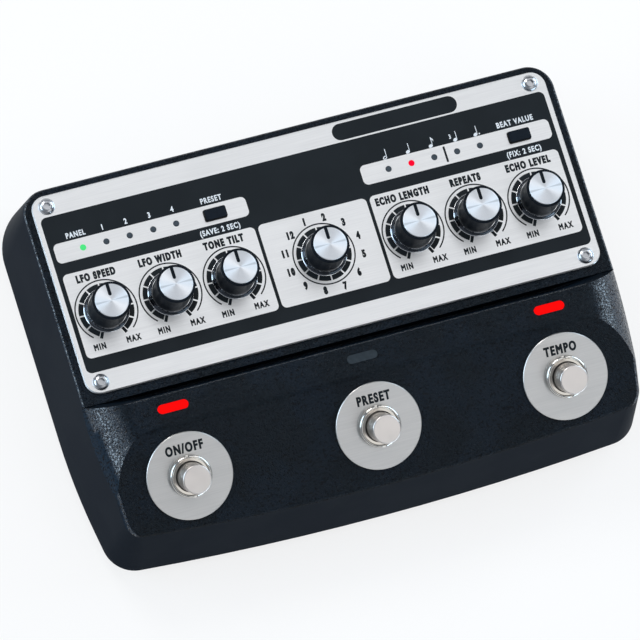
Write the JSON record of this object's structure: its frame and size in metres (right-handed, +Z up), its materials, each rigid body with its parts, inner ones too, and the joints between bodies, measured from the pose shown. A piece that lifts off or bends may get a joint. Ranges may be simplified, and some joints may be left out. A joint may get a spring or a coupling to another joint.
{
  "type": "analog delay pedal",
  "caption": "Floor-standing analog delay pedal: knobs and lamps on a recessed aluminium panel, a raised ridge, and footswitches on a sloping deck.",
  "frame": {"origin": "on the floor, under the middle of the pedal", "axes": "+X to the player's right, +Y to the rear, where the connectors are, +Z up"},
  "size_m": [0.192, 0.133, 0.052],
  "materials": {
    "case_paint": "textured blue-black powder coat",
    "plate_steel": "black painted steel",
    "screw_steel": "zinc plated",
    "screw_chrome": "polished chrome",
    "foot_rubber": "matt black",
    "panel_aluminium": "fine brushed, clear anodised",
    "lens": "smooth red, lit when on",
    "led": "smoked lens",
    "washer_steel": "brushed",
    "nut_chrome": "nickel plated",
    "plunger_steel": "nickel plated",
    "switch_housing": "moulded",
    "board": "green solder mask",
    "standoff_brass": "turned",
    "chip": "moulded",
    "capacitor": "sleeved",
    "ribbon": "flat cable",
    "jack_plastic": "moulded",
    "knob_plastic": "moulded, fine texture",
    "skirt_chrome": "mirror polished",
    "cap_aluminium": "spun",
    "shaft_steel": "turned",
    "button_plastic": "moulded"
  },
  "bodies": {
    "pedal": {"upper_case": "case_paint", "bottom_plate": "plate_steel", "bottom_screws": "screw_steel", "rubber_feet": "foot_rubber", "panel_plate": "panel_aluminium", "panel_screws": "screw_chrome", "status_lenses": "lens", "panel_leds": "led", "footswitch_washers": "washer_steel", "footswitch_nuts": "nut_chrome", "footswitch_bodies": "switch_housing", "tact_switches": "switch_housing", "potentiometers": "switch_housing", "selector_switch": "switch_housing", "pot_nuts": "screw_steel", "control_board": "board", "main_board": "board", "board_standoffs": "standoff_brass", "board_screws": "screw_steel", "delay_chips": "chip", "processor_chip": "chip", "capacitors": "capacitor", "ribbon_cable": "ribbon", "phone_jacks": "jack_plastic", "jack_nuts": "nut_chrome", "mini_jacks": "jack_plastic", "power_inlet": "jack_plastic"},
    "speed_control": {"speed_knob": "knob_plastic", "speed_skirt": "skirt_chrome", "speed_cap": "cap_aluminium", "speed_shaft": "shaft_steel"},
    "width_control": {"width_knob": "knob_plastic", "width_skirt": "skirt_chrome", "width_cap": "cap_aluminium", "width_shaft": "shaft_steel"},
    "tone_control": {"tone_knob": "knob_plastic", "tone_skirt": "skirt_chrome", "tone_cap": "cap_aluminium", "tone_shaft": "shaft_steel"},
    "selector_control": {"selector_knob": "knob_plastic", "selector_skirt": "skirt_chrome", "selector_cap": "cap_aluminium", "selector_shaft": "shaft_steel"},
    "time_control": {"time_knob": "knob_plastic", "time_skirt": "skirt_chrome", "time_cap": "cap_aluminium", "time_shaft": "shaft_steel"},
    "repeat_control": {"repeat_knob": "knob_plastic", "repeat_skirt": "skirt_chrome", "repeat_cap": "cap_aluminium", "repeat_shaft": "shaft_steel"},
    "level_control": {"level_knob": "knob_plastic", "level_skirt": "skirt_chrome", "level_cap": "cap_aluminium", "level_shaft": "shaft_steel"},
    "select_key": {"select_button": "button_plastic"},
    "divide_key": {"divide_button": "button_plastic"},
    "left_footswitch": {"left_plunger": "plunger_steel"},
    "middle_footswitch": {"middle_plunger": "plunger_steel"},
    "right_footswitch": {"right_plunger": "plunger_steel"}
  },
  "joints": [
    {"name": "speed_turn", "type": "hinge", "parent": "pedal", "child": "speed_control", "pos_m": [-0.0752, 0.0162, 0.0457], "axis": [0, 0, 1], "range_deg": [-150, 150]},
    {"name": "width_turn", "type": "hinge", "parent": "pedal", "child": "width_control", "pos_m": [-0.0532, 0.0162, 0.0457], "axis": [0, 0, 1], "range_deg": [-150, 150]},
    {"name": "tone_turn", "type": "hinge", "parent": "pedal", "child": "tone_control", "pos_m": [-0.0312, 0.0162, 0.0457], "axis": [0, 0, 1], "range_deg": [-150, 150]},
    {"name": "selector_turn", "type": "hinge", "parent": "pedal", "child": "selector_control", "pos_m": [-0.0002, 0.0162, 0.0457], "axis": [0, 0, 1], "continuous": true},
    {"name": "time_turn", "type": "hinge", "parent": "pedal", "child": "time_control", "pos_m": [0.0308, 0.0162, 0.0457], "axis": [0, 0, 1], "range_deg": [-150, 150]},
    {"name": "repeat_turn", "type": "hinge", "parent": "pedal", "child": "repeat_control", "pos_m": [0.0528, 0.0162, 0.0457], "axis": [0, 0, 1], "range_deg": [-150, 150]},
    {"name": "level_turn", "type": "hinge", "parent": "pedal", "child": "level_control", "pos_m": [0.0748, 0.0162, 0.0457], "axis": [0, 0, 1], "range_deg": [-150, 150]},
    {"name": "select_press", "type": "slide", "parent": "pedal", "child": "select_key", "axis": [0, 0, 1], "range_m": [-0.0004, 0], "stiffness_N_per_m": 2000, "springref_m": 0.0004},
    {"name": "divide_press", "type": "slide", "parent": "pedal", "child": "divide_key", "axis": [0, 0, 1], "range_m": [-0.0004, 0], "stiffness_N_per_m": 2000, "springref_m": 0.0004},
    {"name": "left_stomp", "type": "slide", "parent": "pedal", "child": "left_footswitch", "axis": [0, -0.3891, 0.9212], "range_m": [-0.0025, 0], "stiffness_N_per_m": 3000, "springref_m": 0.0015},
    {"name": "middle_stomp", "type": "slide", "parent": "pedal", "child": "middle_footswitch", "axis": [0, -0.3891, 0.9212], "range_m": [-0.0025, 0], "stiffness_N_per_m": 3000, "springref_m": 0.0015},
    {"name": "right_stomp", "type": "slide", "parent": "pedal", "child": "right_footswitch", "axis": [0, -0.3891, 0.9212], "range_m": [-0.0025, 0], "stiffness_N_per_m": 3000, "springref_m": 0.0015}
  ]
}
